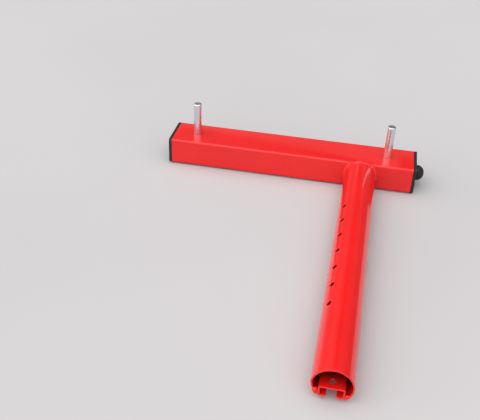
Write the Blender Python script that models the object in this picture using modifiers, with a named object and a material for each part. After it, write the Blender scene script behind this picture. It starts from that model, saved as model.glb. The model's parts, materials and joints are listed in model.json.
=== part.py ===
"""Slide-on support arm of a paddock stand: a rectangular crossbar with two
locating pins and a rubber bumper, on a round stem with index holes and a
slotted C-rail let into its underside.

Metres, +Z up. +X runs along the crossbar to the bumper end, -Y runs down the
stem to its open end, and the pins point up +Z. The origin is the centre of the
arm's footprint on the surface that it lies on.
"""

from math import acos, asin, cos, pi, radians, sin, sqrt

import bmesh
import bpy
from mathutils import Matrix, Vector

MM = 0.001
GAP = 0.3 * MM                 # clearance between neighbouring solids

# Crossbar: rectangular hollow section
BAR_LENGTH = 363 * MM
BAR_DEPTH = 60 * MM            # along Y, the width of the pin face
BAR_HEIGHT = 40 * MM           # along Z
BAR_WALL = 2.5 * MM
BAR_OUTER_R = 3.0 * MM
BAR_INNER_R = 1.0 * MM
BAR_X0 = -188 * MM             # tube end on the plain side
BAR_X1 = BAR_X0 + BAR_LENGTH   # tube end on the bumper side
BAR_FRONT = 181.5 * MM         # face that the stem is welded to
BAR_BACK = BAR_FRONT + BAR_DEPTH

# Stem: round tube, butt-welded to the crossbar's front face
STEM_X = 99.5 * MM
STEM_Z = BAR_HEIGHT / 2
STEM_LENGTH = 423 * MM
STEM_R = 22.7 * MM
STEM_WALL = 1.8 * MM
STEM_END = BAR_FRONT - STEM_LENGTH
STEM_SIDES = 72

# Index holes along the upper left flank of the stem
HOLE_COUNT = 7
HOLE_R = 3.6 * MM
HOLE_FIRST = 113.6 * MM        # from the crossbar's front face
HOLE_PITCH = 33.6 * MM
HOLE_ANGLE = radians(135)      # from +X, towards +Z

# Slit in the underside of the stem, and the C-rail that fills it
SLIT_HALF = 15.5 * MM
RAIL_WIDTH = 28 * MM
RAIL_BOTTOM = 4.0 * MM         # the lips stand this far above the crossbar's underside
RAIL_HEIGHT = 13.4 * MM
RAIL_WALL = 2.0 * MM
RAIL_OUTER_R = 2.2 * MM
RAIL_INNER_R = 0.7 * MM
RAIL_SLOT = 10.7 * MM
RAIL_HOLE_R = 3.4 * MM
RAIL_HOLE_FROM_END = 9.8 * MM

# Notch in the stem's open end, on the plain side, and the shallower set-back under it
NOTCH_LENGTH = 7 * MM
NOTCH_TOP = STEM_Z + 0.8 * MM
NOTCH_BOTTOM = STEM_Z - 6.0 * MM
SET_BACK = 3.8 * MM

# Locating pins
PIN_R = 6.1 * MM
PIN_TOP = BAR_HEIGHT + 50 * MM
PIN_FROM_END = {"plain_end": 33.6 * MM, "bumper_end": 39.4 * MM}
PIN_BOTTOM = 1.8 * MM
PIN_CHAMFER = 0.9 * MM
PIN_Y = BAR_FRONT + BAR_DEPTH / 2
PIN_X = {"plain_end": BAR_X0 + PIN_FROM_END["plain_end"],
         "bumper_end": BAR_X1 - PIN_FROM_END["bumper_end"]}

# Plastic end caps
CAP_FLANGE = 4.5 * MM          # how far a cap's face stands off the tube's end
CAP_EDGE_R = 0.7 * MM
CAP_PLUG_DEPTH = 15 * MM
CAP_PLUG_WALL = 2.0 * MM
CAP_FIN = 1.4 * MM
CAP_FIN_CLEAR = 0.4 * MM
CAP_FIN_DEPTHS = (3.5 * MM, 8.0 * MM, 12.5 * MM)

# Rubber bumper on its stud
BUMPER_R = 11.3 * MM
BUMPER_LIP_R = 12.0 * MM
BUMPER_LIP = 1.2 * MM
BUMPER_HEIGHT = 13 * MM
STUD_R = 4.0 * MM
STUD_DISC_R = 9.6 * MM
STUD_DISC = 1.5 * MM
STUD_INSIDE = 12 * MM
WASHER_R = 8.0 * MM
WASHER = 1.6 * MM
NUT_ACROSS_FLATS = 13 * MM
NUT_HEIGHT = 6.5 * MM

# Weld beads at the head of the stem
SIDE_BEAD_R = 4.0 * MM
SIDE_BEAD_PATH_R = STEM_R + 0.4 * MM
TOP_BEAD_R = 5.4 * MM
TOP_BEAD_PATH_R = STEM_R - 3.5 * MM
BEAD_SPLIT = 50.0              # degrees from +X where the side runs meet the top run
BEAD_LOW = -38.0               # degrees where the side runs stop, above the rail

RED = (0.72, 0.012, 0.010, 1)
BLACK_PLASTIC = (0.018, 0.018, 0.020, 1)
BLACK_RUBBER = (0.012, 0.012, 0.012, 1)
BRIGHT_STEEL = (0.74, 0.75, 0.77, 1)
ZINC = (0.55, 0.57, 0.60, 1)


# ---------------------------------------------------------------- scene set-up
for old in list(bpy.data.objects):
    bpy.data.objects.remove(old, do_unlink=True)

PARTS = bpy.data.collections.new("paddock_stand_arm")
CUTTERS = bpy.data.collections.new("cutters")
for group in (PARTS, CUTTERS):
    bpy.context.scene.collection.children.link(group)
CUTTERS.hide_render = True


def material(name, colour, roughness, metallic=0.0, coat=0.0):
    made = bpy.data.materials.new(name)
    made.use_nodes = True
    shader = made.node_tree.nodes["Principled BSDF"]
    shader.inputs["Base Color"].default_value = colour
    shader.inputs["Roughness"].default_value = roughness
    shader.inputs["Metallic"].default_value = metallic
    shader.inputs["Coat Weight"].default_value = coat
    return made


def finish(obj, colour, roughness, metallic=0.0, coat=0.0, sharp=30):
    """Own material, and smooth shading with its sharp edges kept."""
    obj.data.materials.clear()
    obj.data.materials.append(material(obj.name + "_finish", colour, roughness, metallic, coat))
    if obj.type == "MESH":
        obj.data.shade_smooth()
        obj.data.set_sharp_from_angle(angle=radians(sharp))
    return obj


def place(name, data, cutter=False, matrix=None):
    obj = bpy.data.objects.new(name, data)
    (CUTTERS if cutter else PARTS).objects.link(obj)
    if cutter:
        obj.hide_render = True
        obj.display_type = "WIRE"
    if matrix is not None:
        obj.matrix_world = matrix
    return obj


def block(name, low, high, cutter=False, along=None, radius=0.0, segments=4):
    """A box between two corners; its four edges along one axis can be rounded."""
    low, high = Vector(low), Vector(high)
    size, middle = high - low, (high + low) / 2
    bm = bmesh.new()
    bmesh.ops.create_cube(bm, size=1.0)
    bmesh.ops.scale(bm, vec=size, verts=bm.verts)
    if along is not None and radius > 0:
        edges = [e for e in bm.edges
                 if abs((e.verts[0].co - e.verts[1].co).normalized()[along]) > 0.99]
        bmesh.ops.bevel(bm, geom=edges, offset=radius, segments=segments, profile=0.5,
                        affect="EDGES")
    mesh = bpy.data.meshes.new(name)
    bm.to_mesh(mesh)
    bm.free()
    return place(name, mesh, cutter, Matrix.Translation(middle))


def rod(name, radius, start, end, sides=32, cutter=False):
    """A solid cylinder between two points."""
    start, end = Vector(start), Vector(end)
    bm = bmesh.new()
    bmesh.ops.create_cone(bm, cap_ends=True, cap_tris=False, segments=sides,
                          radius1=radius, radius2=radius, depth=(end - start).length)
    mesh = bpy.data.meshes.new(name)
    bm.to_mesh(mesh)
    bm.free()
    turn = (end - start).to_track_quat("Z", "Y").to_matrix().to_4x4()
    return place(name, mesh, cutter, Matrix.Translation((start + end) / 2) @ turn)


def turned(name, profile, matrix, steps=48, cutter=False):
    """A profile of (radius, height) from the top down the outer side, turned about Z."""
    bm = bmesh.new()
    points = [bm.verts.new((r, 0, z)) for r, z in profile]
    for a, b in zip(points, points[1:]):
        bm.edges.new((a, b))
    mesh = bpy.data.meshes.new(name)
    bm.to_mesh(mesh)
    bm.free()
    obj = place(name, mesh, cutter, matrix)
    screw = obj.modifiers.new("turn", "SCREW")
    screw.axis = "Z"
    screw.steps = screw.render_steps = steps
    screw.use_merge_vertices = True
    screw.merge_threshold = 0.00001
    screw.use_smooth_shade = True
    return obj


def outline(name, points, thickness, matrix):
    """A flat outline given in local XY, made into a plate of this thickness."""
    curve = bpy.data.curves.new(name, "CURVE")
    curve.dimensions = "2D"
    curve.fill_mode = "BOTH"
    curve.extrude = thickness / 2
    spline = curve.splines.new("POLY")
    spline.points.add(len(points) - 1)
    for point, (x, y) in zip(spline.points, points):
        point.co = (x, y, 0, 1)
    spline.use_cyclic_u = True
    return place(name, curve, False, matrix)


def combine(obj, other, operation="DIFFERENCE"):
    cut = obj.modifiers.new(operation.lower() + "_" + other.name, "BOOLEAN")
    cut.operation = operation
    cut.solver = "EXACT"
    cut.object = other
    return obj


def meshed(obj):
    """The curve object made into a mesh object with its caps welded on."""
    bpy.context.view_layer.update()
    graph = bpy.context.evaluated_depsgraph_get()
    mesh = bpy.data.meshes.new_from_object(obj.evaluated_get(graph))
    bm = bmesh.new()
    bm.from_mesh(mesh)
    bmesh.ops.remove_doubles(bm, verts=bm.verts, dist=0.000001)
    bmesh.ops.recalc_face_normals(bm, faces=bm.faces)
    bm.to_mesh(mesh)
    bm.free()
    name, matrix = obj.name, obj.matrix_world.copy()
    bpy.data.objects.remove(obj, do_unlink=True)
    return place(name, mesh, False, matrix)


# -------------------------------------------------------------------- crossbar
bar = block("crossbar_tube", (BAR_X0, BAR_FRONT, 0), (BAR_X1, BAR_BACK, BAR_HEIGHT),
            along=0, radius=BAR_OUTER_R, segments=5)
bar_bore = block("bar_bore",
                 (BAR_X0 - 5 * MM, BAR_FRONT + BAR_WALL, BAR_WALL),
                 (BAR_X1 + 5 * MM, BAR_BACK - BAR_WALL, BAR_HEIGHT - BAR_WALL),
                 cutter=True, along=0, radius=BAR_INNER_R, segments=2)
combine(bar, bar_bore)
for end, x in PIN_X.items():
    hole = rod("pin_hole_" + end, PIN_R + GAP, (x, PIN_Y, -5 * MM),
               (x, PIN_Y, BAR_HEIGHT + 5 * MM), sides=40, cutter=True)
    combine(bar, hole)
finish(bar, RED, 0.22, coat=0.6)


# ------------------------------------------------------------------------ stem
stem = rod("stem_tube", STEM_R, (STEM_X, STEM_END, STEM_Z),
           (STEM_X, BAR_FRONT - GAP, STEM_Z), sides=STEM_SIDES)
combine(stem, rod("stem_bore", STEM_R - STEM_WALL, (STEM_X, STEM_END - 5 * MM, STEM_Z),
                  (STEM_X, BAR_FRONT + 5 * MM, STEM_Z), sides=STEM_SIDES, cutter=True))
combine(stem, block("stem_slit",
                    (STEM_X - SLIT_HALF, STEM_END - 5 * MM, STEM_Z - STEM_R - 5 * MM),
                    (STEM_X + SLIT_HALF, BAR_FRONT + 5 * MM, STEM_Z - 6 * MM), cutter=True))
flank = Vector((cos(HOLE_ANGLE), 0, sin(HOLE_ANGLE)))
for i in range(HOLE_COUNT):
    centre = Vector((STEM_X, BAR_FRONT - HOLE_FIRST - i * HOLE_PITCH, STEM_Z))
    combine(stem, rod(f"index_hole_{i + 1}", HOLE_R, centre + flank * 15 * MM,
                      centre + flank * 32 * MM, sides=28, cutter=True))
combine(stem, block("end_notch",
                    (STEM_X - STEM_R - 4 * MM, STEM_END - 4 * MM, NOTCH_BOTTOM),
                    (STEM_X - STEM_R + 6 * MM, STEM_END + NOTCH_LENGTH, NOTCH_TOP),
                    cutter=True))
combine(stem, block("end_set_back",
                    (STEM_X - STEM_R - 4 * MM, STEM_END - 4 * MM, STEM_Z - STEM_R - 4 * MM),
                    (STEM_X - SLIT_HALF + 1 * MM, STEM_END + SET_BACK, NOTCH_BOTTOM + 0.5 * MM),
                    cutter=True))
finish(stem, RED, 0.22, coat=0.6)


# ---------------------------------------------------------------------- C-rail
RAIL_TOP = RAIL_BOTTOM + RAIL_HEIGHT
RAIL_MIDDLE = RAIL_BOTTOM + RAIL_HEIGHT / 2
rail = block("c_rail", (STEM_X - RAIL_WIDTH / 2, STEM_END, RAIL_BOTTOM),
             (STEM_X + RAIL_WIDTH / 2, BAR_FRONT - GAP, RAIL_TOP),
             along=1, radius=RAIL_OUTER_R, segments=5)
combine(rail, block("rail_bore",
                    (STEM_X - RAIL_WIDTH / 2 + RAIL_WALL, STEM_END - 5 * MM,
                     RAIL_BOTTOM + RAIL_WALL),
                    (STEM_X + RAIL_WIDTH / 2 - RAIL_WALL, BAR_FRONT + 5 * MM,
                     RAIL_TOP - RAIL_WALL),
                    cutter=True, along=1, radius=RAIL_INNER_R, segments=2))
combine(rail, block("rail_slot",
                    (STEM_X - RAIL_SLOT / 2, STEM_END - 5 * MM, RAIL_BOTTOM - 5 * MM),
                    (STEM_X + RAIL_SLOT / 2, BAR_FRONT + 5 * MM, RAIL_MIDDLE), cutter=True))
rail_hole_y = STEM_END + RAIL_HOLE_FROM_END
combine(rail, rod("rail_hole", RAIL_HOLE_R, (STEM_X, rail_hole_y, RAIL_MIDDLE),
                  (STEM_X, rail_hole_y, RAIL_TOP + 5 * MM), sides=28, cutter=True))
finish(rail, RED, 0.26, coat=0.5)


def seam_outline(side):
    """Section of the groove between the rail's lower corner and the slit's edge, filled with weld."""
    clear = RAIL_OUTER_R + GAP
    centre_x, centre_z = RAIL_WIDTH / 2 - RAIL_OUTER_R, RAIL_BOTTOM + RAIL_OUTER_R - STEM_Z
    inner_x = RAIL_WIDTH / 2 + GAP
    outer_x = SLIT_HALF - GAP
    root_z = max(-sqrt((STEM_R - STEM_WALL) ** 2 - SLIT_HALF ** 2), centre_z + 0.4 * MM)
    toe_z = -sqrt((STEM_R + 0.1 * MM) ** 2 - outer_x ** 2)
    points = [(inner_x, root_z), (outer_x, root_z), (outer_x, toe_z)]
    floor_z = RAIL_BOTTOM - STEM_Z + 0.02 * MM
    points.append((outer_x - 1.0 * MM, (toe_z + floor_z) / 2 - 0.2 * MM))
    lowest = asin((floor_z - centre_z) / clear)
    steps = 6
    for i in range(steps + 1):
        angle = lowest * (1 - i / steps)
        points.append((centre_x + clear * cos(angle), centre_z + clear * sin(angle)))
    return [(side * x, z) for x, z in points]


for side, label in ((-1, "plain_side"), (1, "bumper_side")):
    seam_start = STEM_END + (SET_BACK + 0.4 * MM if side < 0 else 0.5 * MM)
    seam_end = BAR_FRONT - 6.5 * MM
    seam = outline("rail_weld_" + label, seam_outline(side), seam_end - seam_start,
                   Matrix.Translation((STEM_X, (seam_start + seam_end) / 2, STEM_Z))
                   @ Matrix.Rotation(pi / 2, 4, "X"))
    finish(seam, RED, 0.3, coat=0.4)


# --------------------------------------------------- weld at the head of the stem
bar_clearance = block("bar_clearance",
                      (BAR_X0, BAR_FRONT - GAP, -GAP), (BAR_X1, BAR_BACK, BAR_HEIGHT + GAP),
                      cutter=True, along=0, radius=BAR_OUTER_R + GAP, segments=5)
stem_clearance = rod("stem_clearance", STEM_R + GAP, (STEM_X, STEM_END, STEM_Z),
                     (STEM_X, BAR_FRONT, STEM_Z), sides=STEM_SIDES, cutter=True)


def weld_run(name, path_r, bead_r, y, first, last, points=25):
    """A round bead laid along an arc about the stem's axis, cut back from the tubes it joins."""
    curve = bpy.data.curves.new(name, "CURVE")
    curve.dimensions = "3D"
    curve.bevel_depth = bead_r
    curve.bevel_resolution = 4
    curve.use_fill_caps = True
    spline = curve.splines.new("POLY")
    spline.points.add(points - 1)
    for i, point in enumerate(spline.points):
        angle = radians(first + (last - first) * i / (points - 1))
        point.co = (path_r * cos(angle), 0, path_r * sin(angle), 1)
    run = meshed(place(name, curve, False, Matrix.Translation((STEM_X, y, STEM_Z))))
    combine(run, bar_clearance)
    combine(run, stem_clearance)
    return finish(run, RED, 0.3, coat=0.5, sharp=50)


weld_run("stem_weld_top", TOP_BEAD_PATH_R, TOP_BEAD_R, BAR_FRONT - 0.5 * MM,
         BEAD_SPLIT + 0.5, 180 - BEAD_SPLIT - 0.5)
weld_run("stem_weld_bumper_side", SIDE_BEAD_PATH_R, SIDE_BEAD_R, BAR_FRONT - 0.5 * MM,
         BEAD_LOW, BEAD_SPLIT - 0.5)
weld_run("stem_weld_plain_side", SIDE_BEAD_PATH_R, SIDE_BEAD_R, BAR_FRONT - 0.5 * MM,
         180 - BEAD_SPLIT + 0.5, 180 - BEAD_LOW)


# ---------------------------------------------------------------- locating pins
for end, x in PIN_X.items():
    base = Matrix.Translation((x, PIN_Y, 0))
    pin = turned("locating_pin_" + end,
                 [(0, PIN_TOP), (PIN_R - PIN_CHAMFER, PIN_TOP), (PIN_R, PIN_TOP - PIN_CHAMFER),
                  (PIN_R, PIN_BOTTOM + 0.5 * MM), (PIN_R - 0.5 * MM, PIN_BOTTOM), (0, PIN_BOTTOM)],
                 base, steps=40)
    finish(pin, BRIGHT_STEEL, 0.12, metallic=1.0)
    plug = turned("pin_weld_" + end,
                  [(0, 1.5 * MM), (PIN_R, 1.5 * MM), (PIN_R, 0.7 * MM),
                   (PIN_R - 0.6 * MM, 0.3 * MM), (0, 0.2 * MM)],
                  base, steps=32)
    finish(plug, RED, 0.35, coat=0.4)


# -------------------------------------------------------------------- end caps
def end_cap(name, tube_end, outward, drilled):
    """A push-in cap: flange over the tube's end, hollow plug with fins inside the tube."""
    def along(distance):
        return tube_end + outward * distance

    def slab(label, near, far, inset, radius, cutter, segments=4):
        low, high = sorted((along(near), along(far)))
        return block(label, (low, BAR_FRONT + inset, inset),
                     (high, BAR_BACK - inset, BAR_HEIGHT - inset),
                     cutter=cutter, along=0, radius=radius, segments=segments)

    flange = slab(name, GAP, CAP_FLANGE, 0.0, BAR_OUTER_R, False)
    face_x = outward * (CAP_FLANGE - GAP) / 2
    bm = bmesh.new()
    bm.from_mesh(flange.data)
    rim = [e for e in bm.edges if all(abs(v.co.x - face_x) < 1e-6 for v in e.verts)]
    bmesh.ops.bevel(bm, geom=rim, offset=CAP_EDGE_R, segments=3, profile=0.5, affect="EDGES")
    bm.to_mesh(flange.data)
    bm.free()
    clear = BAR_WALL + CAP_FIN_CLEAR
    combine(flange, slab(name + "_plug", GAP + 0.5 * MM, -CAP_PLUG_DEPTH, clear + 1.6 * MM,
                         1.5 * MM, True, 3), "UNION")
    for i, depth in enumerate(CAP_FIN_DEPTHS):
        combine(flange, slab(f"{name}_fin_{i + 1}", -depth, -depth - CAP_FIN, clear,
                             BAR_INNER_R, True, 2), "UNION")
    combine(flange, slab(name + "_pocket", GAP, -CAP_PLUG_DEPTH - 5 * MM,
                         clear + 1.6 * MM + CAP_PLUG_WALL, 1.0 * MM, True, 2))
    if drilled:
        combine(flange, rod(name + "_hole", STUD_R + 0.4 * MM,
                            (along(-4 * MM), PIN_Y, BAR_HEIGHT / 2),
                            (along(CAP_FLANGE + 4 * MM), PIN_Y, BAR_HEIGHT / 2),
                            sides=32, cutter=True))
    return finish(flange, BLACK_PLASTIC, 0.38)


end_cap("end_cap_plain", BAR_X0, -1, False)
end_cap("end_cap_bumper", BAR_X1, 1, True)


# ------------------------------------------------------------------ the bumper
# Local +Z of this frame points out of the crossbar's end, from the tube's end face.
bumper_frame = (Matrix.Translation((BAR_X1, PIN_Y, BAR_HEIGHT / 2))
                @ Matrix.Rotation(pi / 2, 4, "Y"))

seat = CAP_FLANGE + GAP
crown = CAP_FLANGE + BUMPER_HEIGHT
shoulder = seat + 2.6 * MM
dome = []
steps = 14
for i in range(steps + 1):
    angle = pi / 2 * (1 - i / steps)
    dome.append((BUMPER_R * cos(angle), shoulder + (crown - shoulder) * sin(angle)))
dome[0] = (0, crown)
dome += [(BUMPER_R, seat + BUMPER_LIP + 0.3 * MM), (BUMPER_R + 0.3 * MM, seat + BUMPER_LIP),
         (BUMPER_LIP_R - 0.2 * MM, seat + BUMPER_LIP - 0.1 * MM),
         (BUMPER_LIP_R, seat + BUMPER_LIP - 0.4 * MM), (BUMPER_LIP_R, seat),
         (STUD_DISC_R + GAP, seat), (STUD_DISC_R + GAP, seat + STUD_DISC + GAP),
         (0, seat + STUD_DISC + GAP)]
finish(turned("bumper_dome", dome, bumper_frame, steps=40), BLACK_RUBBER, 0.42)

stud = [(0, seat + STUD_DISC), (STUD_DISC_R, seat + STUD_DISC), (STUD_DISC_R, seat),
        (STUD_R, seat), (STUD_R, -STUD_INSIDE + 0.8 * MM), (STUD_R - 0.8 * MM, -STUD_INSIDE),
        (0, -STUD_INSIDE)]
finish(turned("bumper_stud", stud, bumper_frame, steps=32), ZINC, 0.32, metallic=1.0)


def ring_cut(obj, name, radius, low, high):
    axis = bumper_frame.to_3x3() @ Vector((0, 0, 1))
    base = bumper_frame.translation
    return combine(obj, rod(name, radius, base + axis * low, base + axis * high,
                            sides=32, cutter=True))


washer_top, washer_bottom = 0.0, -WASHER
washer = turned("bumper_washer",
                [(0, washer_top), (WASHER_R, washer_top), (WASHER_R, washer_bottom),
                 (0, washer_bottom)], bumper_frame, steps=32)
ring_cut(washer, "washer_hole", STUD_R + GAP, -6 * MM, 4 * MM)
finish(washer, ZINC, 0.35, metallic=1.0)

nut_top = washer_bottom - GAP
nut_bottom = nut_top - NUT_HEIGHT
corner_r = NUT_ACROSS_FLATS / 2 / cos(pi / 6)
axis = bumper_frame.to_3x3() @ Vector((0, 0, 1))
nut = rod("bumper_nut", corner_r, bumper_frame.translation + axis * nut_bottom,
          bumper_frame.translation + axis * nut_top, sides=6)
ring_cut(nut, "nut_thread", STUD_R + GAP, nut_bottom - 3 * MM, nut_top + 3 * MM)
finish(nut, ZINC, 0.35, metallic=1.0)
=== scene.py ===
import json
from math import asin, atan2, ceil, cos, floor, hypot, pi, radians, sin, sqrt, tan

import bmesh
import bpy
from mathutils import Matrix, Vector, noise


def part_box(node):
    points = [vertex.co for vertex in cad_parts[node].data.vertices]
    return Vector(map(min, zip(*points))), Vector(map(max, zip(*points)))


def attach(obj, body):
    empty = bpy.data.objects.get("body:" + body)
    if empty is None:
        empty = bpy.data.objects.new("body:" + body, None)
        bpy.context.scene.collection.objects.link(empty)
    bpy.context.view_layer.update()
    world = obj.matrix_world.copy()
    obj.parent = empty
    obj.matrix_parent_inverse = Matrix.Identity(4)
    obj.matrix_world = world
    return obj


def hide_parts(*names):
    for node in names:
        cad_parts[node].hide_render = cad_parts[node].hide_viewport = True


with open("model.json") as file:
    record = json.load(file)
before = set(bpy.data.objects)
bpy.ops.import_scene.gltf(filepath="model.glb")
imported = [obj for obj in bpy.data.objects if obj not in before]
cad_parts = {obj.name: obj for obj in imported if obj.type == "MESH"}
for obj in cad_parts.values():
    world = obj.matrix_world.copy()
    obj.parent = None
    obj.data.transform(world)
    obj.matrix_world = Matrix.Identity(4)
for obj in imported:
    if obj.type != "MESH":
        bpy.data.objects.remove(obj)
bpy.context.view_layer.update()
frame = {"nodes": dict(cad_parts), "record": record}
MM = 0.001


# ---------------------------------------------------------------------- camera
def camera():
    yaw, pitch, roll = -0.17861, 0.59006, 0.03951
    place = Vector((0.092733, -0.764449, 0.572638))
    forward = Vector((sin(yaw) * cos(pitch), cos(yaw) * cos(pitch), -sin(pitch)))
    right = Vector((cos(yaw), -sin(yaw), 0))
    up = right.cross(forward)
    r2 = right * cos(roll) + up * sin(roll)
    u2 = -right * sin(roll) + up * cos(roll)
    data = bpy.data.cameras.new("camera")
    data.sensor_fit = "HORIZONTAL"
    data.sensor_width = 36.0
    data.lens = 731.396 / 480 * 36
    data.clip_start, data.clip_end = 0.01, 100
    obj = bpy.data.objects.new("camera", data)
    bpy.context.scene.collection.objects.link(obj)
    rot = Matrix((r2, u2, -forward)).transposed()
    obj.matrix_world = Matrix.Translation(place) @ rot.to_4x4()
    bpy.context.scene.camera = obj
    bpy.context.scene.view_settings.view_transform = "Standard"
    bpy.context.scene.view_settings.look = "None"


camera()


# ------------------------------------------------------- measures from the frame
def low_high(node):
    low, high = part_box(node)
    return Vector(low), Vector(high)


BAR_LOW, BAR_HIGH = low_high("crossbar_tube")
FRONT, BACK, BAR_TOP = BAR_LOW.y, BAR_HIGH.y, BAR_HIGH.z
stem_low, stem_high = low_high("stem_tube")
STEM_R = (stem_high.x - stem_low.x) / 2
STEM_X = (stem_high.x + stem_low.x) / 2
STEM_Z = stem_high.z - STEM_R
STEM_END = stem_low.y
STEM_WALL = 1.8 * MM
rail_low, rail_high = low_high("c_rail")


# --------------------------------------------------------------- node materials
class Shader:
    """Short calls for building one node material."""

    def __init__(self, name):
        self.material = bpy.data.materials.new(name)
        self.material.use_nodes = True
        self.tree = self.material.node_tree
        self.out = self.tree.nodes["Principled BSDF"]
        self.place = self.node("ShaderNodeTexCoord").outputs["Object"]

    def node(self, kind, **settings):
        made = self.tree.nodes.new(kind)
        for key, value in settings.items():
            setattr(made, key, value)
        return made

    def link(self, source, target):
        if isinstance(source, (int, float)):
            target.default_value = source
        elif isinstance(source, tuple):
            target.default_value = source if len(source) == 4 or target.type != "RGBA" else source + (1,)
        else:
            self.tree.links.new(source, target)

    def noise(self, scale, detail=2.0, rough=0.5, stretch=None, place=None):
        at = place or self.place
        if stretch:
            mapping = self.node("ShaderNodeMapping")
            mapping.inputs["Scale"].default_value = stretch
            self.link(at, mapping.inputs["Vector"])
            at = mapping.outputs["Vector"]
        made = self.node("ShaderNodeTexNoise")
        made.inputs["Scale"].default_value = scale
        made.inputs["Detail"].default_value = detail
        made.inputs["Roughness"].default_value = rough
        self.link(at, made.inputs["Vector"])
        return made.outputs["Fac"]

    def math(self, operation, a, b=0.0, clamp=False):
        made = self.node("ShaderNodeMath", operation=operation, use_clamp=clamp)
        self.link(a, made.inputs[0])
        self.link(b, made.inputs[1])
        return made.outputs[0]

    def spread(self, value, low, high, to_low=0.0, to_high=1.0, smooth=True):
        made = self.node("ShaderNodeMapRange",
                         interpolation_type="SMOOTHSTEP" if smooth else "LINEAR")
        self.link(value, made.inputs["Value"])
        for key, number in zip(("From Min", "From Max", "To Min", "To Max"),
                               (low, high, to_low, to_high)):
            self.link(number, made.inputs[key])
        return made.outputs[0]

    def mix(self, factor, a, b):
        made = self.node("ShaderNodeMix", data_type="RGBA")
        self.link(factor, made.inputs[0])
        self.link(a, made.inputs[6])
        self.link(b, made.inputs[7])
        return made.outputs[2]

    def bump(self, height, distance, strength=1.0, normal=None):
        made = self.node("ShaderNodeBump")
        made.inputs["Strength"].default_value = strength
        made.inputs["Distance"].default_value = distance
        self.link(height, made.inputs["Height"])
        if normal is not None:
            self.link(normal, made.inputs["Normal"])
        return made.outputs[0]

    def facing_up(self):
        geometry = self.node("ShaderNodeNewGeometry")
        split = self.node("ShaderNodeSeparateXYZ")
        self.link(geometry.outputs["Normal"], split.inputs[0])
        return split.outputs["Z"]

    def edges(self, radius, low=0.02, high=0.25):
        """1 on outer edges and corners, 0 on flats."""
        geometry = self.node("ShaderNodeNewGeometry")
        rounded = self.node("ShaderNodeBevel", samples=6)
        rounded.inputs["Radius"].default_value = radius
        dot = self.node("ShaderNodeVectorMath", operation="DOT_PRODUCT")
        self.link(geometry.outputs["Normal"], dot.inputs[0])
        self.link(rounded.outputs[0], dot.inputs[1])
        return self.spread(self.math("SUBTRACT", 1.0, dot.outputs["Value"]), low, high)

    def set(self, **values):
        for key, value in values.items():
            self.link(value, self.out.inputs[key.replace("_", " ")])
        return self.material


def red_coat():
    s = Shader("red_powder_coat")
    broad = s.noise(9, 3)
    fine = s.noise(160, 3)
    colour = s.mix(s.spread(broad, 0.3, 0.7), RED_DEEP, RED)
    colour = s.mix(s.spread(fine, 0.35, 0.75, 0.0, 0.12), colour, RED_LIGHT)
    # edge wear and painted highlight: edges are lightened in patches, for worn coat and for the pale sheen
    # along edges and rims
    edge = s.edges(0.6 * MM)
    worn = s.math("MULTIPLY", edge, s.spread(s.noise(420, 4, 0.6), 0.42, 0.66, 0.05, 0.30))
    colour = s.mix(worn, colour, RED_WEAR_AND_SHEEN)
    dust = s.math("MULTIPLY", s.spread(s.facing_up(), 0.4, 1.0),
                  s.spread(s.noise(1500, 3, 0.7), 0.66, 0.80, 0.0, 0.10))
    colour = s.mix(dust, colour, (0.72, 0.62, 0.58))
    # painted shade: the coat inside the stem is painted dark away from its open end, standing in for the
    # shade deep in the bore
    split = s.node("ShaderNodeSeparateXYZ")
    s.link(s.place, split.inputs[0])
    x, y, z = split.outputs
    r = s.math("SQRT", s.math("ADD", s.math("POWER", s.math("SUBTRACT", x, STEM_X), 2.0),
                              s.math("POWER", s.math("SUBTRACT", z, STEM_Z), 2.0)))
    inside = s.math("MULTIPLY", s.spread(r, STEM_R - 1.78 * MM, STEM_R - 1.5 * MM, 1.0, 0.0),
                    s.spread(z, 5.5 * MM, 7.0 * MM))
    inside = s.math("MULTIPLY", inside, s.spread(y, STEM_END + 2 * MM, STEM_END + 30 * MM, 0.0, 0.95))
    inside = s.math("MULTIPLY", inside, s.spread(y, STEM_END + 50 * MM, STEM_END + 90 * MM, 1.0, 0.0))
    inside = s.math("MULTIPLY", inside, s.math("LESS_THAN", y, FRONT - 1 * MM))
    colour = s.mix(inside, colour, PAINTED_BORE_SHADE)
    # painted contact shadow: the crossbar's lower corners are darkened where they meet the floor
    low = s.math("MULTIPLY", s.spread(z, 0.2 * MM, 3.4 * MM, 0.85, 0.0),
                 s.spread(s.facing_up(), -0.995, -0.90))
    low = s.math("MULTIPLY", low, s.math("GREATER_THAN", y, FRONT - 0.1 * MM))
    low = s.math("MULTIPLY", low, s.spread(s.noise(55, 4, 0.6), 0.25, 0.6, 0.55, 1.0))
    # near-black mix colour of the painted contact shadow
    colour = s.mix(low, colour, (0.12, 0.012, 0.010))
    rough = s.spread(s.noise(34, 3), 0.3, 0.7, COAT_ROUGH, COAT_ROUGH + 0.06)
    rough = s.math("ADD", rough, s.math("MULTIPLY", dust, 0.8))
    peel = s.bump(s.noise(430, 1.5, 0.4), 0.05 * MM, 0.35)
    peel = s.bump(s.noise(1500, 2, 0.5), 0.012 * MM, 0.35, peel)
    return s.set(Base_Color=colour, Roughness=rough, Normal=peel, Coat_Weight=0.86,
                 Coat_Roughness=0.045, Specular_IOR_Level=0.10,
                 Coat_Normal=s.bump(s.noise(430, 1.5, 0.4), 0.05 * MM, 0.12))


def pin_steel():
    s = Shader("bright_pin_steel")
    rings = s.noise(1.0, 3, 0.6, stretch=(60, 60, 5200))
    broad = s.noise(60, 3)
    colour = s.mix(s.spread(broad, 0.3, 0.7), (0.70, 0.71, 0.74), (0.80, 0.80, 0.82))
    rough = s.math("ADD", s.spread(rings, 0.3, 0.7, 0.19, 0.29),
                   s.spread(s.noise(900, 3), 0.62, 0.8, 0.0, 0.10))
    turned = s.bump(rings, 0.004 * MM, 0.5)
    return s.set(Base_Color=colour, Metallic=1.0, Roughness=rough, Normal=turned)


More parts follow.
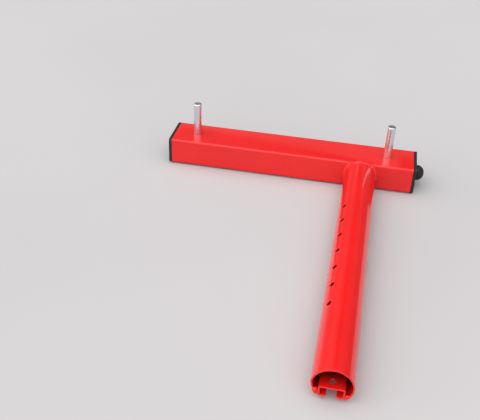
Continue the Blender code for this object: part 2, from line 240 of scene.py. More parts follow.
def cap_plastic():
    s = Shader("black_cap_plastic")
    colour = s.mix(s.noise(300, 3), (0.013, 0.012, 0.012), (0.022, 0.020, 0.019))
    worn = s.math("MULTIPLY", s.edges(0.7 * MM), s.spread(s.noise(600, 3), 0.35, 0.7, 0.1, 0.5))
    colour = s.mix(worn, colour, (0.050, 0.046, 0.044))
    rough = s.spread(s.noise(90, 3), 0.3, 0.7, 0.34, 0.46)
    grain = s.bump(s.noise(2600, 2, 0.6), 0.02 * MM, 0.6)
    return s.set(Base_Color=colour, Roughness=rough, Normal=grain, Specular_IOR_Level=0.32)


def rubber():
    s = Shader("black_rubber")
    colour = s.mix(s.noise(120, 4), (0.008, 0.0072, 0.0072), (0.013, 0.012, 0.0115))
    dust = s.math("MULTIPLY", s.spread(s.facing_up(), 0.1, 1.0),
                  s.spread(s.noise(1300, 3, 0.7), 0.60, 0.78, 0.0, 0.16))
    colour = s.mix(dust, colour, (0.20, 0.19, 0.18))
    rough = s.spread(s.noise(220, 3), 0.3, 0.7, 0.40, 0.52)
    grain = s.bump(s.noise(1800, 3, 0.6), 0.02 * MM, 0.6)
    return s.set(Base_Color=colour, Roughness=rough, Normal=grain, Specular_IOR_Level=0.3)


def zinc():
    s = Shader("zinc_plated_steel")
    tint = s.mix(s.spread(s.noise(70, 3), 0.3, 0.7), (0.55, 0.58, 0.63), (0.66, 0.65, 0.58))
    rough = s.spread(s.noise(500, 3), 0.3, 0.7, 0.26, 0.40)
    marks = s.bump(s.noise(1400, 3), 0.01 * MM, 0.5)
    return s.set(Base_Color=tint, Metallic=1.0, Roughness=rough, Normal=marks)


RED = (0.80, 0.0112, 0.0102)
RED_DEEP = (0.74, 0.0085, 0.0080)
RED_LIGHT = (0.82, 0.024, 0.021)
# lighter edge colour: worn coat and painted edge highlight
RED_WEAR_AND_SHEEN = (0.82, 0.13, 0.11)
# painted shade colour for the inside of the stem, away from its open end
PAINTED_BORE_SHADE = (0.030, 0.0060, 0.0050)
COAT_ROUGH = 0.32
MATERIALS = {"red_powder_coat": red_coat(), "bright_pin_steel": pin_steel(),
             "black_cap_plastic": cap_plastic(), "black_rubber": rubber(),
             "zinc_plated_steel": zinc()}
for part in frame["record"]["subparts"]:
    node = frame["nodes"][part["node"]]
    node.data.materials.clear()
    node.data.materials.append(MATERIALS[part["material_slot"]])
SLOT = {part["node"]: part["material_slot"] for part in frame["record"]["subparts"]}


# ---------------------------------------------------------------- mesh building
def piece(name, bm, *nodes, bevel=0.0, bevel_angle=40, segments=2, sharp=None):
    """A finished piece that stands for the CAD nodes named."""
    bmesh.ops.recalc_face_normals(bm, faces=bm.faces)
    if bm.calc_volume(signed=True) < 0:
        bmesh.ops.reverse_faces(bm, faces=bm.faces)
    mesh = bpy.data.meshes.new(name)
    bm.to_mesh(mesh)
    bm.free()
    mesh.shade_smooth()
    if sharp:
        mesh.set_sharp_from_angle(angle=radians(sharp))
    obj = bpy.data.objects.new(name, mesh)
    bpy.context.scene.collection.objects.link(obj)
    if bevel:
        rounding = obj.modifiers.new("edges", "BEVEL")
        rounding.width = bevel
        rounding.segments = segments
        rounding.limit_method = "ANGLE"
        rounding.angle_limit = radians(bevel_angle)
        rounding.use_clamp_overlap = True
        weighted = obj.modifiers.new("normals", "WEIGHTED_NORMAL")
        weighted.weight = 60
        weighted.keep_sharp = bool(sharp)
    mesh.materials.append(MATERIALS[SLOT[nodes[0]]])
    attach(obj, "root")
    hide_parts(*nodes)
    return obj


def spaced(points, step):
    """Points with the stretches between them divided into steps no longer than this."""
    made = [points[0]]
    for a, b in zip(points, points[1:]):
        count = max(1, ceil(abs(b - a) / step - 1e-9))
        made += [a + (b - a) * k / count for k in range(1, count + 1)]
    return made


def wall(outer, inner, along, put, absent=(), holes=(), closed=False):
    """A wall between two matching sections, swept along a line.

    put(a, v, b) turns section coordinates and the distance along into a place.
    absent holds cells (i, j) that are cut away. A hole is (first column, first row,
    cells a side, ring), where ring(layer, k, count, share) gives the place of point k:
    share 0 on the hole's edge and 1 on the patch's."""
    bm = bmesh.new()
    n, m = len(outer), len(along)
    cells = n if closed else n - 1
    layers = [[[bm.verts.new(put(a, v, b)) for v in along] for a, b in section]
              for section in (outer, inner)]
    gone = set(absent)
    for i0, j0, side, ring in holes:
        gone |= {(i0 + i, j0 + j) for i in range(side) for j in range(side)}
    open_edge = set(absent)

    def there(i, j):
        if closed:
            i %= n
        return 0 <= i < cells and 0 <= j < m - 1 and (i, j) not in open_edge

    for i in range(cells):
        for j in range(m - 1):
            if (i, j) in open_edge:
                continue
            k = (i + 1) % n
            corners = ((i, j), (k, j), (k, j + 1), (i, j + 1))
            if (i, j) not in gone:
                for layer in layers:
                    bm.faces.new([layer[p][q] for p, q in corners])
            for (p, q), (r, t), (di, dj) in ((corners[0], corners[1], (0, -1)),
                                             (corners[1], corners[2], (1, 0)),
                                             (corners[2], corners[3], (0, 1)),
                                             (corners[3], corners[0], (-1, 0))):
                if not there(i + di, j + dj):
                    bm.faces.new((layers[0][p][q], layers[0][r][t],
                                  layers[1][r][t], layers[1][p][q]))
    for i0, j0, side, ring in holes:
        loop = ([(i0 + k, j0) for k in range(side)] + [(i0 + side, j0 + k) for k in range(side)]
                + [(i0 + side - k, j0 + side) for k in range(side)]
                + [(i0, j0 + side - k) for k in range(side)])
        count = len(loop)
        rims = []
        for number, layer in enumerate(layers):
            last = [layer[p][q] for p, q in loop]
            for share in (0.55, 0.2, 0.0):
                new = [bm.verts.new(ring(number, k, count, share)) for k in range(count)]
                for k in range(count):
                    bm.faces.new((last[k], last[(k + 1) % count], new[(k + 1) % count], new[k]))
                last = new
            rims.append(last)
        for k in range(count):
            q = (k + 1) % count
            bm.faces.new((rims[0][k], rims[0][q], rims[1][q], rims[1][k]))
    loose = [v for v in bm.verts if not v.link_faces]
    bmesh.ops.delete(bm, geom=loose, context="VERTS")
    return bm


def square_point(k, count, half_a, half_v):
    """Point k round a square patch, from its low corner, in the order wall() uses."""
    side = count // 4
    run, step = divmod(k, side)
    t = -1 + 2 * step / side
    return ((t * half_a, -half_v), (half_a, t * half_v), (-t * half_a, half_v),
            (-half_a, -t * half_v))[run]


def arc(cx, cz, r, start, end, steps):
    return [(cx + r * cos(radians(start + (end - start) * k / steps)),
             cz + r * sin(radians(start + (end - start) * k / steps))) for k in range(steps + 1)]


def loft(rings, fill=True):
    """Matching rings of points joined in order; filled at both ends, or closed on itself."""
    bm = bmesh.new()
    made = [[bm.verts.new(p) for p in ring] for ring in rings]
    count = len(made[0])
    pairs = list(zip(made, made[1:]))
    if not fill:
        pairs.append((made[-1], made[0]))
    for a, b in pairs:
        for k in range(count):
            q = (k + 1) % count
            bm.faces.new((a[k], a[q], b[q], b[k]))
    if fill:
        for ring in (made[0], made[-1]):
            bm.faces.new(ring)
    return bm


def lathe(profile, base, axis, steps=96):
    """A profile of (radius, height) turned about an axis; it starts and ends on the axis."""
    axis = Vector(axis).normalized()
    side = axis.orthogonal().normalized()
    other = axis.cross(side)
    base = Vector(base)
    bm = bmesh.new()
    rings = []
    for r, h in profile:
        if r < 1e-7:
            rings.append([bm.verts.new(base + axis * h)])
        else:
            rings.append([bm.verts.new(base + axis * h + (side * cos(2 * pi * k / steps)
                                                          + other * sin(2 * pi * k / steps)) * r)
                          for k in range(steps)])
    for a, b in zip(rings, rings[1:]):
        for k in range(steps):
            q = (k + 1) % steps
            if len(a) == 1:
                bm.faces.new((a[0], b[q], b[k]))
            elif len(b) == 1:
                bm.faces.new((a[k], a[q], b[0]))
            else:
                bm.faces.new((a[k], a[q], b[q], b[k]))
    return bm


# -------------------------------------------------------------------- stem tube
def stem():
    inner_r = STEM_R - STEM_WALL
    slit = 15.5 * MM
    patch, side = 6.5 * MM, 8
    spread = asin(patch / STEM_R)
    middle = radians(135)
    notch = (0.8 * MM, -6.0 * MM)

    def angles(r):
        low = -pi / 2 + asin(slit / r)
        marks = ([low, middle - spread, middle + spread, pi - asin(notch[0] / r),
                  pi - asin(notch[1] / r), 3 * pi / 2 - asin(slit / r)])
        out = [low]
        for (a, b), count in zip(zip(marks, marks[1:]), (66, side, 10, 7, 12)):
            if count == side:
                out += [middle + asin(patch * (-1 + 2 * k / count) / r * (sin(spread) * r / patch))
                        for k in range(1, count + 1)]
            else:
                out += [a + (b - a) * k / count for k in range(1, count + 1)]
        return out

    outer = [(STEM_R * cos(t), STEM_R * sin(t)) for t in angles(STEM_R)]
    inner = [(inner_r * cos(t), inner_r * sin(t)) for t in angles(inner_r)]
    first_column = 66
    notch_column = 66 + side + 10
    back_column = notch_column + 7
    centres = [FRONT - 113.6 * MM - k * 33.6 * MM for k in range(6, -1, -1)]
    rows = spaced([STEM_END, STEM_END + 3.8 * MM, STEM_END + 7.0 * MM], 1.9 * MM)
    first_rows = []
    for y in centres:
        rows = rows[:-1] + spaced([rows[-1], y - patch], 11 * MM)
        first_rows.append(len(rows) - 1)
        rows += [y - patch + 2 * patch * k / side for k in range(1, side + 1)]
    rows = rows[:-1] + spaced([rows[-1], FRONT - 0.3 * MM], 11 * MM)
    absent = set()
    for i in range(notch_column, len(outer) - 1):
        reach = 7.0 * MM if i < back_column else 3.8 * MM
        absent |= {(i, j) for j in range(len(rows) - 1)
                   if rows[j + 1] <= STEM_END + reach + 1e-6}

    hole_r = (3.6 * MM, 3.15 * MM)

    def ring_for(y):
        def ring(layer, k, count, share):
            r = (STEM_R, inner_r)[layer]
            half = (sin(spread) * STEM_R, sin(spread) * inner_r)[layer]
            sa, sv = square_point(k, count, half, patch)
            turn = -3 * pi / 4 + 2 * pi * k / count
            a = hole_r[layer] * cos(turn) * (1 - share) + sa * share
            v = hole_r[layer] * sin(turn) * (1 - share) + sv * share
            t = middle + asin(a / r)
            return (STEM_X + r * cos(t), y + v, STEM_Z + r * sin(t))
        return ring

    holes = [(first_column, j, side, ring_for(y)) for j, y in zip(first_rows, centres)]
    bm = wall(outer, inner, rows, lambda a, v, b: (STEM_X + a, v, STEM_Z + b), absent, holes)
    piece("stem", bm, "stem_tube", bevel=0.35 * MM, segments=3)


stem()


# ---------------------------------------------------------------------- C-rail
def rail():
    x = (rail_low.x + rail_high.x) / 2
    half, low, high = (rail_high.x - rail_low.x) / 2, rail_low.z, rail_high.z
    slot, thick, r_out, r_in = 5.35 * MM, 2.0 * MM, 2.2 * MM, 0.7 * MM
    patch, side = 5.0 * MM, 8

    def section(inset, r):
        h, b, t = half - inset, low + inset, high - inset
        right = [(slot, b), ((slot + h - r) / 2, b)] + arc(h - r, b + r, r, -90, 0, 6)
        right += [(h, (b + t) / 2)] + arc(h - r, t - r, r, 0, 90, 6)
        right += [((h - r + patch) / 2, t)]
        across = [(patch - 2 * patch * k / side, t) for k in range(side + 1)]
        return right + across + [(-a, z) for a, z in reversed(right)]

    outer, inner = section(0, r_out), section(thick, r_in)
    column = (len(outer) - side - 1) // 2
    centre = rail_low.y + 9.8 * MM
    rows = spaced([rail_low.y, centre - patch], 2.5 * MM)
    row = len(rows) - 1
    rows += [centre - patch + 2 * patch * k / side for k in range(1, side + 1)]
    rows = rows[:-1] + spaced([rows[-1], rail_high.y], 14 * MM)

    def ring(layer, k, count, share):
        sa, sv = square_point(k, count, -patch, patch)
        turn = -3 * pi / 4 + 2 * pi * k / count
        a = -3.4 * MM * cos(turn) * (1 - share) + sa * share
        v = 3.4 * MM * sin(turn) * (1 - share) + sv * share
        return (x + a, centre + v, high - (thick if layer else 0))

    bm = wall(outer, inner, rows, lambda a, v, b: (x + a, v, b), (), [(column, row, side, ring)])
    piece("rail", bm, "c_rail", bevel=0.35 * MM, segments=3)


rail()


# -------------------------------------------------------------------- crossbar
PINS = {}
for name in ("locating_pin_plain_end", "locating_pin_bumper_end"):
    low, high = low_high(name)
    PINS[name] = ((low + high) / 2, (high.x - low.x) / 2, low.z, high.z)


def crossbar():
    corner, inside, thick = 3.0 * MM, 1.0 * MM, 2.5 * MM
    patch, side = 9.0 * MM, 8
    y0, y1, z0, z1 = FRONT, BACK, BAR_LOW.z, BAR_TOP
    middle = PINS["locating_pin_plain_end"][0].y
    steps = 8

    def section(inset, r):
        a0, a1, b0, b1 = y0 + inset, y1 - inset, z0 + inset, z1 - inset
        out = []
        # bottom, from front to back
        out += [(a0 + r, b0)]
        out += [(middle - patch + 2 * patch * k / side, b0) for k in range(side + 1)]
        out += arc(a1 - r, b0 + r, r, -90, 0, steps)
        out += [(a1, (b0 + b1) / 2)]
        out += arc(a1 - r, b1 - r, r, 0, 90, steps)
        out += [(middle + patch - 2 * patch * k / side, b1) for k in range(side + 1)]
        out += arc(a0 + r, b1 - r, r, 90, 180, steps)
        out += [(a0, (b0 + b1) / 2)]
        out += arc(a0 + r, b0 + r, r, 180, 270, steps)[:-1]
        return out

    outer, inner = section(0, corner), section(thick, inside)
    bottom_column = 1
    top_column = 1 + side + 1 + (steps + 1) + 1 + (steps + 1)
    rows = [BAR_LOW.x]
    holes = []
    for name in ("locating_pin_plain_end", "locating_pin_bumper_end"):
        place, r, low, high = PINS[name]
        rows = rows[:-1] + spaced([rows[-1], place.x - patch], 12 * MM)
        row = len(rows) - 1
        rows += [place.x - patch + 2 * patch * k / side for k in range(1, side + 1)]
        for column, sign, z in ((bottom_column, 1, (z0, z0 + thick)),
                                (top_column, -1, (z1, z1 - thick))):
            def ring(layer, k, count, share, sign=sign, z=z, place=place, r=r):
                sa, sv = square_point(k, count, sign * patch, patch)
                turn = -3 * pi / 4 + 2 * pi * k / count
                a = sign * (r + 0.12 * MM) * cos(turn) * (1 - share) + sa * share
                v = (r + 0.12 * MM) * sin(turn) * (1 - share) + sv * share
                return (place.x + v, middle + a, z[layer])
            holes.append((column, row, side, ring))
    rows = rows[:-1] + spaced([rows[-1], BAR_HIGH.x], 12 * MM)
    bm = wall(outer, inner, rows, lambda a, v, b: (v, a, b), (), holes, closed=True)
    piece("crossbar", bm, "crossbar_tube", bevel=0.3 * MM, segments=2)


crossbar()


# ---------------------------------------------------------------- locating pins
for name, (place, r, low, high) in PINS.items():
    c, f = 0.9 * MM, 0.18 * MM
    profile = [(0, high), (r * 0.5, high), (r - c - f, high), (r - c + f * 0.2, high - f * 0.25),
               (r - c * 0.5, high - c * 0.5), (r - f * 0.3, high - c + f * 0.2),
               (r, high - c - f), (r, high - c - 3 * MM)]
    z = high - c - 3 * MM
    while z > low + 8 * MM:
        z -= 6 * MM
        profile.append((r, z))
    profile += [(r, low + 0.5 * MM), (r - 0.5 * MM, low), (0, low)]
    piece(name.replace("locating_", ""), lathe(profile, (place.x, place.y, 0), (0, 0, 1)), name,
          sharp=None).modifiers.new("normals", "WEIGHTED_NORMAL").weight = 60


# ---------------------------------------------------- plug welds under the pins
for end in ("plain_end", "bumper_end"):
    low, high = low_high("pin_weld_" + end)
    place, r = (low + high) / 2, (high.x - low.x) / 2
    bm = bmesh.new()
    rings, around = 16, 64
    body = []
    for j in range(rings + 1):
        share = j / rings
        loop = []
        for k in range(around):
            turn = 2 * pi * k / around
            swirl = share * 3.2 - turn / (2 * pi)
            ripple = 0.5 + 0.5 * cos(2 * pi * swirl)
            dome = 0.55 * MM * (1 - share ** 2.2)
            height = high.z - 0.75 * MM - dome + 0.16 * MM * ripple * (1 - share ** 4) * (share > 0)
            wob = 1 - 0.02 * (1 + sin(3 * turn + 1.0))
            loop.append((place.x + r * share * wob * cos(turn),
                         place.y + r * share * wob * sin(turn), max(height, 0.15 * MM)))
        body.append(loop)
    made = [[bm.verts.new(p) for p in loop] for loop in body[1:]]
    tip = bm.verts.new((place.x, place.y, max(high.z - 1.2 * MM, 0.15 * MM)))
    top = [bm.verts.new((p.co.x, p.co.y, high.z)) for p in made[-1]]
    for k in range(around):
        q = (k + 1) % around
        bm.faces.new((tip, made[0][k], made[0][q]))
        bm.faces.new((made[-1][k], made[-1][q], top[q], top[k]))
        for a, b in zip(made, made[1:]):
            bm.faces.new((a[k], a[q], b[q], b[k]))
    bm.faces.new(top)
    piece("plug_weld_" + end, bm, "pin_weld_" + end, sharp=50)


# -------------------------------------------------------------------- end caps
def rounded(x, half_y, half_z, r, count=96):
    """A rounded rectangle across the crossbar at x; points even in angle round each corner."""
    middle = Vector((x, (FRONT + BACK) / 2, (BAR_LOW.z + BAR_TOP) / 2))
    out = []
    each = count // 4
    for quarter in range(4):
        sy, sz = ((1, 1), (-1, 1), (-1, -1), (1, -1))[quarter]
        start = quarter * 90
        cy, cz = sy * (half_y - r), sz * (half_z - r)
        arc_points = each - 12
        # six points on the flat before the corner, the corner, six after it
        before = (half_y, 0) if quarter % 2 == 0 else (0, half_z)
        corner = [(cy + r * cos(radians(start + 90 * k / (arc_points - 1))),
                   cz + r * sin(radians(start + 90 * k / (arc_points - 1))))
                  for k in range(arc_points)]
        if quarter == 0:
            a, b = (half_y, 0), (0, half_z)
        elif quarter == 1:
            a, b = (0, half_z), (-half_y, 0)
        elif quarter == 2:
            a, b = (-half_y, 0), (0, -half_z)
        else:
            a, b = (0, -half_z), (half_y, 0)
        lead = [(a[0] + (corner[0][0] - a[0]) * k / 6, a[1] + (corner[0][1] - a[1]) * k / 6)
                for k in range(6)]
        tail = [(corner[-1][0] + (b[0] - corner[-1][0]) * k / 7,
                 corner[-1][1] + (b[1] - corner[-1][1]) * k / 7) for k in range(1, 7)]
        out += lead + corner + tail
    return [(middle.x, middle.y + y, middle.z + z) for y, z in out]


def disc(x, r, like):
    """A circle across the crossbar at x, its points in line with those of another ring."""
    middle = Vector((x, (FRONT + BACK) / 2, (BAR_LOW.z + BAR_TOP) / 2))
    return [(x, middle.y + r * cos(atan2(p[2] - middle.z, p[1] - middle.y)),
             middle.z + r * sin(atan2(p[2] - middle.z, p[1] - middle.y))) for p in like]


def cap(node, tube_end, outward, drilled):
    low, high = low_high(node)
    face = (high.x if outward > 0 else low.x)
    hy, hz = (BACK - FRONT) / 2, (BAR_TOP - BAR_LOW.z) / 2
    edge, corner = 0.7 * MM, 3.0 * MM

    def x(depth):
        return face - outward * depth

    flange = abs(face - tube_end)
    rings = [rounded(x(0.0), hy - 7 * MM, hz - 7 * MM, 1.0 * MM),
             rounded(x(0.0), hy - edge - 1.2 * MM, hz - edge - 1.2 * MM, corner - edge)]
    for k in range(6):
        t = radians(90 * k / 5)
        inset = edge * (1 - sin(t))
        rings.append(rounded(x(edge * (1 - cos(t))), hy - inset, hz - inset,
                             max(corner - inset, 0.5 * MM)))
    back = flange - 0.06 * MM
    rings += [rounded(x(edge + 1.0 * MM), hy, hz, corner),
              rounded(x(back - 0.25 * MM), hy, hz, corner),
              rounded(x(back), hy - 0.2 * MM, hz - 0.2 * MM, corner)]
    inner = 2.9 * MM
    plug = inner + 1.6 * MM
    rings.append(rounded(x(back), hy - plug, hz - plug, 1.5 * MM))
    for depth in (3.5, 8.0, 12.5):
        d = flange + depth * MM
        rings += [rounded(x(d - 0.4 * MM), hy - plug, hz - plug, 1.5 * MM),
                  rounded(x(d), hy - inner, hz - inner, 1.0 * MM),
                  rounded(x(d + 1.0 * MM), hy - inner - 0.4 * MM, hz - inner - 0.4 * MM, 1.0 * MM),
                  rounded(x(d + 1.4 * MM), hy - plug, hz - plug, 1.5 * MM)]
    end = abs((low.x if outward > 0 else high.x) - face)
    rings += [rounded(x(end), hy - plug, hz - plug, 1.5 * MM),
              rounded(x(end), hy - plug - 2 * MM, hz - plug - 2 * MM, 1.0 * MM),
              rounded(x(flange - 0.3 * MM), hy - plug - 2 * MM, hz - plug - 2 * MM, 1.0 * MM)]
    if drilled:
        rings.append(disc(x(flange - 0.3 * MM), 4.4 * MM, rings[-1]))
        rings.insert(0, disc(x(0.0), 4.4 * MM, rings[0]))
    bm = loft(rings, fill=not drilled)
    obj = piece(node.replace("end_cap", "cap"), bm, node, sharp=45)
    obj.modifiers.new("normals", "WEIGHTED_NORMAL").keep_sharp = True


cap("end_cap_plain", BAR_LOW.x, -1, False)
cap("end_cap_bumper", BAR_HIGH.x, 1, True)


# ------------------------------------------------------------------ bumper dome
def dome():
    low, high = low_high("bumper_dome")
    seat, crown = 0.0, high.x - low.x
    lip_r = (high.y - low.y) / 2
    r, lip = 11.3 * MM, 1.2 * MM
    shoulder = 2.6 * MM
    profile = [(0, crown)]
    for k in range(1, 33):
        t = radians(90 * k / 32)
        profile.append((r * sin(t), shoulder + (crown - shoulder) * cos(t)))
    profile += [(r, lip + 0.9 * MM), (r + 0.02 * MM, lip + 0.35 * MM),
                (r + 0.12 * MM, lip + 0.1 * MM), (r + 0.3 * MM, lip)]
    for k in range(5):
        t = radians(90 * k / 4)
        profile.append((lip_r - 0.35 * MM + 0.35 * MM * sin(t), lip - 0.35 * MM + 0.35 * MM * cos(t)))
    profile += [(lip_r, 0.15 * MM), (lip_r - 0.15 * MM, 0.0), (9.9 * MM, 0.0),
                (9.9 * MM, 1.8 * MM), (0, 1.8 * MM)]
    bm = lathe(profile, (low.x, (low.y + high.y) / 2, (low.z + high.z) / 2), (1, 0, 0))
    obj = piece("dome", bm, "bumper_dome", sharp=50)
    obj.modifiers.new("normals", "WEIGHTED_NORMAL").keep_sharp = True


dome()


# ----------------------------------------------------------------- weld beads
def ripple(distance, across, pitch, seed):
    """Height 0 to 1 of overlapping crescents along a bead. across is -1 to 1."""
    wander = 0.35 * noise.noise(Vector((distance * 260, seed, 0)))
    phase = distance / pitch + 0.45 * (1 - across * across) + wander
    step = phase - floor(phase)
    return (1 - step) ** 0.7 if step > 0.14 else (step / 0.14) * 0.9


def bead(name, node, first, last, radius, path_r, y, pitch=2.1 * MM, height=0.34 * MM,
         clip=None, seed=0.0, direction=1):
    """A rippled run of weld along an arc about the stem's axis."""
    length = abs(radians(last - first)) * path_r
    rows = int(length / (0.24 * MM))
    around = 28
    rings = []
    for j in range(rows + 1):
        share = j / rows
        distance = share * length
        turn = radians(first + (last - first) * share)
        from_end = min(distance, length - distance)
        ending = sqrt(max(0.0, 1 - (1 - min(1.0, from_end / (radius * 0.75))) ** 2))
        swell = 1 + 0.07 * noise.noise(Vector((distance * 120, seed + 7.1, 0)))
        wobble = 0.3 * MM * noise.noise(Vector((distance * 90, seed + 3.3, 1.7)))
        loop = []
        for k in range(around):
            t = 2 * pi * k / around
            # across the bead: from the toe on the crossbar (+Y) to the toe on the stem (-Y)
            outward = Vector((sin(t), cos(t)))
            across = max(-1.0, min(1.0, atan2(outward.x + 0.6, outward.y + 0.4) / (pi / 2)))
            lump = ripple(distance * direction, across, pitch, seed) * height
            r = (radius * swell * (0.25 + 0.75 * ending)) + (lump - height) * ending
            radial = r * outward.y
            forward = r * outward.x
            if clip:
                radial = max(radial, clip)
            loop.append((STEM_X + (path_r + radial + wobble * 0.4) * cos(turn), y + forward + wobble,
                         STEM_Z + (path_r + radial + wobble * 0.4) * sin(turn)))
        rings.append(loop)
    piece(name, loft(rings), node)


def fillet(name, node, first, last, leg, leg_top, seed):
    """A run of fillet weld down one side of the stem, in the corner with the crossbar's face."""
    length = abs(radians(last - first)) * STEM_R
    rows = int(length / (0.3 * MM))
    face = 18
    rings = []
    for j in range(rows + 1):
        share = j / rows
        distance = share * length
        turn = radians(first + (last - first) * share)
        from_end = min(distance, length - distance)
        ending = sqrt(max(0.0, 1 - (1 - min(1.0, from_end / (2.6 * MM))) ** 2))
        size = leg + (leg_top - leg) * max(0.0, 1 - share * 2.6) ** 1.4
        toe = [size * (0.35 + 0.65 * ending) * (1 + 0.10 * noise.noise(Vector((distance * 420, seed + k, k))))
               for k in (0.0, 4.2)]
        deep = 0.6 * MM + 2.6 * MM * max(0.0, 1 - share * 2.2)
        loop = []
        for k in range(face + 1):
            t = k / face
            across = -1 + 2 * t
            swell = sin(pi * t)
            lump = ripple(distance, across, 2.5 * MM, seed)
            out = (0.16 * size * swell - (1 - lump) * 0.30 * MM * swell ** 0.7) * ending
            rho = toe[0] * (1 - t) - 0.15 * MM * t + out * 0.7
            fore = toe[1] * t - 0.15 * MM * (1 - t) + out * 0.7
            loop.append((rho, fore))
        loop += [(-0.7 * MM, max(toe[1] - 0.6 * MM, 0.3 * MM)), (-0.7 * MM, -deep),
                 (max(toe[0] - 0.8 * MM, 0.3 * MM), -deep)]
        ring = []
        for rho, fore in loop:
            r = STEM_R + rho
            z = STEM_Z + r * sin(turn)
            limit = BAR_TOP - 0.15 * MM
            if z > limit:
                z = limit + 0.25 * MM * (1 - 1 / (1 + (z - limit) / (0.8 * MM)))
            ring.append((STEM_X + r * cos(turn), FRONT - fore, z))
        rings.append(ring)
    piece(name, loft(rings), node, sharp=60)


bead("weld_top", "stem_weld_top", 50, 130, 5.1 * MM, STEM_R - 3.5 * MM, FRONT - 0.5 * MM,
     pitch=3.1 * MM, height=0.42 * MM, clip=-2.0 * MM, seed=1.0)
fillet("weld_bumper_side", "stem_weld_bumper_side", 54, -46, 3.2 * MM, 4.6 * MM, 5.0)
fillet("weld_plain_side", "stem_weld_plain_side", 126, 226, 3.2 * MM, 5.6 * MM, 9.0)


def seam(name, node, side, seed, lump):
    """A long rippled run that fills the groove between the rail and the edge of the slit."""
    low, high = low_high(node)
    near, far = (high.x, low.x) if side < 0 else (low.x, high.x)
    near, far = abs(near - STEM_X), abs(far - STEM_X)
    root = high.z
    toe_z, foot_z = low.z, rail_low.z
    length = high.y - low.y
    rows = int(length / (0.42 * MM))
    rings = []
    for j in range(rows + 1):
        y = low.y + length * j / rows
        distance = length * j / rows
        tip = sqrt(max(0.0, 1 - (1 - min(1.0, min(distance, length - distance) / (1.5 * MM))) ** 2))
        loop = []
        face = 9
        for k in range(face + 1):
            t = k / face
            across = -1 + 2 * t
            dip = ripple(distance, across, 2.6 * MM, seed) - 1
            a = near - 0.4 * MM + (far + 0.45 * MM - near + 0.4 * MM) * t
            base = foot_z + 0.25 * MM + (toe_z + 0.45 * MM - foot_z) * t
            crown = 0.55 * MM * (1 - across * across)
            z = base - crown * (0.3 + 0.7 * tip) + 0.28 * MM * dip * (1 - across * across)
            loop.append((STEM_X + side * a, y, z + (1 - tip) * 0.5 * MM))
        loop.append((STEM_X + side * (far + 0.6 * MM), y, root - 0.6 * MM))
        loop.append((STEM_X + side * (far + 0.5 * MM), y, root))
        loop.append((STEM_X + side * (near + 0.8 * MM), y, root))
        rings.append(loop)
    bm = loft(rings)
    # the lump that closes the corner between rail and tube at the open end
    middle, radii = lump
    made, across, turns = [], 20, 28
    for j in range(across + 1):
        lat = pi * j / across
        made.append([])
        for k in range(turns):
            lon = 2 * pi * k / turns
            d = Vector((sin(lat) * cos(lon), cos(lat), sin(lat) * sin(lon)))
            grow = 1 + 0.12 * noise.noise(d * 2.1 + Vector((seed, 0, 0))) \
                + 0.07 * noise.noise(d * 5.3 + Vector((0, seed, 0)))
            a = middle[0] + radii[0] * d.x * grow
            y = STEM_END + middle[1] + radii[1] * d.y * grow
            z = middle[2] + radii[2] * d.z * grow
            a = max(a, 13.1 * MM)
            down = z - STEM_Z
            reach = hypot(a, down)
            if reach > STEM_R - 0.25 * MM:
                a, down = a * (STEM_R - 0.25 * MM) / reach, down * (STEM_R - 0.25 * MM) / reach
            made[-1].append((STEM_X + side * a, max(y, STEM_END + 0.25 * MM), STEM_Z + down))
            if j in (0, across):
                break
    verts = [[bm.verts.new(p) for p in ring] for ring in made]
    for a, b in zip(verts, verts[1:]):
        for k in range(turns):
            q = (k + 1) % turns
            if len(a) == 1:
                bm.faces.new((a[0], b[k], b[q]))
            elif len(b) == 1:
                bm.faces.new((a[k], b[0], a[q]))
            else:
                bm.faces.new((a[k], b[k], b[q], a[q]))
    piece(name, bm, node, sharp=60)


seam("rail_seam_plain_side", "rail_weld_plain_side", -1, 21.0,
     ((17.1 * MM, 3.0 * MM, 7.4 * MM), (4.9 * MM, 2.7 * MM, 4.7 * MM)))
seam("rail_seam_bumper_side", "rail_weld_bumper_side", 1, 33.0,
     ((16.6 * MM, 2.0 * MM, 6.4 * MM), (3.6 * MM, 1.7 * MM, 3.0 * MM)))


# ---------------------------------------------------------------------- studio
def studio_floor():
    s = Shader("floor")
    colour = s.mix(s.spread(s.noise(1.2, 3), 0.3, 0.7), (0.515, 0.499, 0.506), (0.540, 0.525, 0.530))
    s.set(Base_Color=colour, Roughness=0.85, Specular_IOR_Level=0.2)
    bm = bmesh.new()
    bmesh.ops.create_grid(bm, x_segments=2, y_segments=2, size=15)
    mesh = bpy.data.meshes.new("floor")
    bm.to_mesh(mesh)
    bm.free()
    obj = bpy.data.objects.new("floor", mesh)
    obj.location.z = -0.0012
    bpy.context.scene.collection.objects.link(obj)
    mesh.materials.append(s.material)


BACKDROP = 0.31
SOFT_LIGHT = ((0.0, 0.0, 0.421, 0.907, 1.267, 1.44, 1.123, 0.418),
              (0.02, 0.0, 0.476, 0.932, 1.207, 1.654, 1.487, 0.259),
              (0.011, 0.516, 1.08, 1.553, 1.824, 2.29, 2.166, 0.846))
OVERHEAD = 1.909


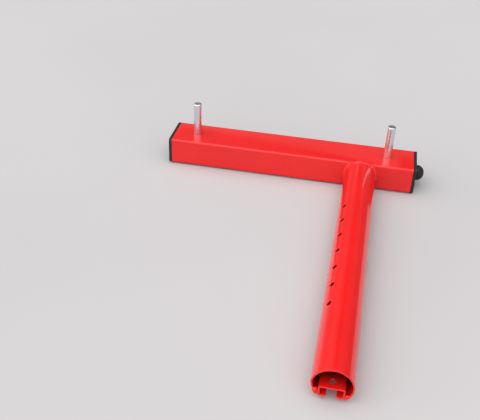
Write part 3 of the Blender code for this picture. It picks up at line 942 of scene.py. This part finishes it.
def surroundings():
    world = bpy.data.worlds.new("studio")
    bpy.context.scene.world = world
    world.use_nodes = True
    nodes, links = world.node_tree.nodes, world.node_tree.links
    place = nodes.new("ShaderNodeTexCoord")
    split = nodes.new("ShaderNodeSeparateXYZ")
    links.new(place.outputs["Generated"], split.inputs[0])

    def ramp(value, low, high, to_low, to_high):
        made = nodes.new("ShaderNodeMapRange")
        made.interpolation_type = "SMOOTHSTEP"
        links.new(value, made.inputs["Value"])
        for key, number in zip(("From Min", "From Max", "To Min", "To Max"),
                               (low, high, to_low, to_high)):
            made.inputs[key].default_value = number
        return made.outputs[0]

    def times(a, b):
        made = nodes.new("ShaderNodeMath")
        made.operation = "MULTIPLY"
        links.new(a, made.inputs[0])
        if isinstance(b, float):
            made.inputs[1].default_value = b
        else:
            links.new(b, made.inputs[1])
        return made.outputs[0]

    def plus(a, b):
        made = nodes.new("ShaderNodeMath")
        made.operation = "ADD"
        links.new(a, made.inputs[0])
        if isinstance(b, float):
            made.inputs[1].default_value = b
        else:
            links.new(b, made.inputs[1])
        return made.outputs[0]

    x, y, z = (split.outputs[axis] for axis in "XYZ")

    def calc(operation, a, b=0.0, clamp=False):
        made = nodes.new("ShaderNodeMath")
        made.operation, made.use_clamp = operation, clamp
        for socket, value in zip(made.inputs, (a, b)):
            if isinstance(value, float):
                socket.default_value = value
            else:
                links.new(value, socket)
        return made.outputs[0]

    # a pale backdrop behind, up to about 28 degrees
    slope = plus(z, times(x, -0.125))
    back = times(ramp(slope, 0.4905, 0.4865, 0.0, 1.0), ramp(x, -0.32, -0.22, 0.0, 1.0))
    dark_right = times(ramp(x, 0.050, 0.060, 0.0, 1.0), ramp(z, 0.473, 0.478, 0.0, 1.0))
    back = times(back, ramp(dark_right, 0.0, 1.0, 1.0, 0.0))
    back = times(back, ramp(x, 0.10, 0.30, 1.0, 0.35))
    strength = times(times(back, BACKDROP), ramp(y, 0.35, 0.60, 0.0, 1.0))

    # soft light all round: brightness every 45 degrees from +Y towards +X, on four levels
    turn = calc("DIVIDE", calc("ARCTAN2", x, y), 2 * pi)
    turn = plus(turn, calc("LESS_THAN", turn, 0.0))
    levels = (calc("SUBTRACT", 1.0, calc("DIVIDE", calc("MAXIMUM", z, 0.0), 0.35), True),
              calc("SUBTRACT", 1.0, calc("DIVIDE", calc("ABSOLUTE", calc("SUBTRACT", z, 0.35)), 0.35), True),
              calc("MINIMUM", calc("DIVIDE", calc("SUBTRACT", z, 0.35), 0.35, True),
                   calc("DIVIDE", calc("SUBTRACT", 1.0, z), 0.30, True)))
    for level, values in zip(levels, SOFT_LIGHT):
        made = nodes.new("ShaderNodeValToRGB")
        made.color_ramp.interpolation = "LINEAR"
        stops = made.color_ramp.elements
        for k in range(9):
            stop = stops[0] if k == 0 else stops.new(k / 8) if k < 8 else stops[-1]
            stop.position = k / 8
            value = values[k % 8] / 3
            stop.color = (value, value, value, 1)
        links.new(turn, made.inputs[0])
        strength = plus(strength, times(times(made.outputs[0], level), 3.0))
    strength = plus(strength, times(calc("DIVIDE", calc("SUBTRACT", z, 0.70), 0.30, True), OVERHEAD))
    background = nodes["Background"]
    background.inputs["Color"].default_value = (1.0, 1.0, 1.0, 1)
    links.new(strength, background.inputs["Strength"])


studio_floor()
surroundings()
